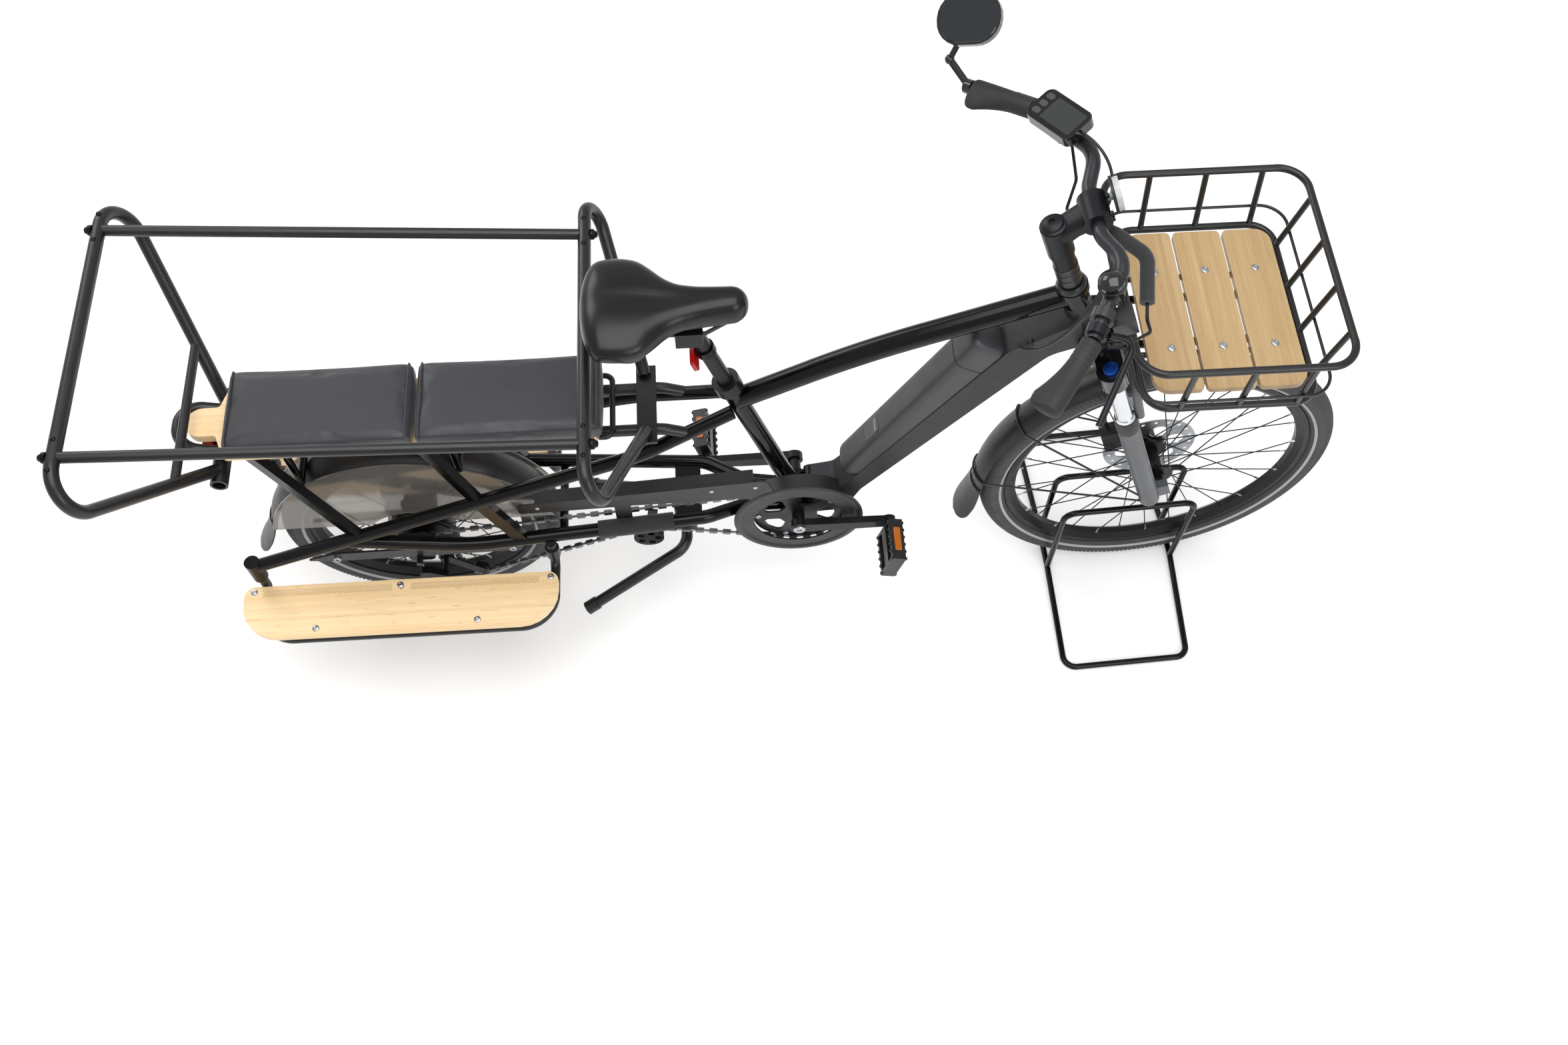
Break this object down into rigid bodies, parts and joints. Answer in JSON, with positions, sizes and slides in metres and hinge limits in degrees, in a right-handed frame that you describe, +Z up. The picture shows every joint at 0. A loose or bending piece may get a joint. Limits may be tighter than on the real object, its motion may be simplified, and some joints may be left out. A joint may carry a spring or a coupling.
{
  "type": "electric cargo bike",
  "caption": "Longtail electric cargo bike with passenger cushions in a tubular safety bar, wooden footboards, front basket and wire wheel stand.",
  "frame": {"origin": "on the floor under the rear axle, in the mid-plane, where the rear tyre touches", "axes": "+X towards the front wheel, +Y to the rider's left, +Z up"},
  "size_m": [2.1368, 0.7268, 1.148],
  "materials": {
    "black_paint": "satin",
    "gloss_black": "gloss",
    "black_alloy": "matte anodised",
    "black_plastic": "satin",
    "graphite_plastic": "matte",
    "smoked_plastic": "clear smoked",
    "fork_grey": "satin",
    "bamboo": "satin lacquer",
    "vinyl": "soft grain",
    "tyre": "matte",
    "grip_rubber": "matte",
    "neoprene": "matte",
    "steel": "brushed",
    "red_lens": "clear",
    "white_lens": "prismatic"
  },
  "bodies": {
    "frame": {"front_frame": "black_paint", "battery": "graphite_plastic", "diagonals": "black_paint", "chainstays": "black_paint", "rack_rails": "black_paint", "rack_struts": "black_paint", "rack_deck": "bamboo", "rack_hoop": "black_paint", "cushion_rear": "vinyl", "cushion_front": "vinyl", "safety_rear_loop": "black_paint", "safety_front_loop": "black_paint", "safety_rails": "black_paint", "footboard_frames": "black_paint", "footboards": "bamboo", "dress_guards": "smoked_plastic", "rear_fender": "black_plastic", "tail_lamp": "red_lens", "chain_guard": "graphite_plastic", "chain": "steel", "derailleur": "black_alloy", "dropout_guards": "black_paint", "chainstay_sleeve": "neoprene", "seat_post": "black_alloy", "saddle": "vinyl", "saddle_base": "graphite_plastic", "basket_frame": "black_paint", "basket_planks": "bamboo", "basket_bracket": "black_paint", "stand_bracket": "black_paint", "rear_caliper": "black_alloy"},
    "rear_wheel": {"rear_tyre": "tyre", "rear_rim": "black_alloy", "rear_hub": "black_alloy", "rear_disc": "steel"},
    "crank": {"chainring": "black_alloy", "crank_arms": "black_alloy"},
    "pedal_right": {"pedal_right": "black_plastic"},
    "pedal_left": {"pedal_left": "black_plastic"},
    "kickstand": {"kickstand": "black_paint"},
    "steering": {"fork_crown": "black_paint", "fork_lowers": "fork_grey", "stem": "black_alloy", "handlebar": "fork_grey", "grips": "grip_rubber", "display": "black_plastic", "brake_levers": "black_alloy", "bar_mirror": "black_plastic", "bell": "black_plastic", "shifter": "black_plastic", "front_reflector": "white_lens", "cable_sleeve": "neoprene", "front_fender": "black_plastic", "fender_stays": "black_paint", "front_caliper": "black_alloy", "wheel_stand": "gloss_black"},
    "front_wheel": {"front_tyre": "tyre", "front_rim": "black_alloy", "front_hub": "black_alloy", "front_disc": "steel"}
  },
  "joints": [
    {"name": "steering", "type": "hinge", "parent": "frame", "child": "steering", "pos_m": [1.35777, 0, 0.31727], "axis": [-0.342, 0, 0.9397], "range_deg": [-60, 60]},
    {"name": "front_wheel_spin", "type": "hinge", "parent": "steering", "child": "front_wheel", "pos_m": [1.40096, 0.00201, 0.33298], "axis": [-0.041, 0.999, -0.0149], "continuous": true},
    {"name": "rear_wheel_spin", "type": "hinge", "parent": "frame", "child": "rear_wheel", "pos_m": [0, 0, 0.257], "axis": [0, 1, 0], "continuous": true},
    {"name": "crank_spin", "type": "hinge", "parent": "frame", "child": "crank", "pos_m": [0.72, 0, 0.296], "axis": [0, 1, 0], "continuous": true},
    {"name": "pedal_right_spin", "type": "hinge", "parent": "crank", "child": "pedal_right", "pos_m": [0.89, -0.13, 0.296], "axis": [0, 1, 0], "continuous": true},
    {"name": "pedal_left_spin", "type": "hinge", "parent": "crank", "child": "pedal_left", "pos_m": [0.55, 0.13, 0.296], "axis": [0, 1, 0], "continuous": true},
    {"name": "kickstand_fold", "type": "hinge", "parent": "frame", "child": "kickstand", "pos_m": [0.505, 0, 0.212], "axis": [0, -1, 0], "range_deg": [0, 86]}
  ]
}
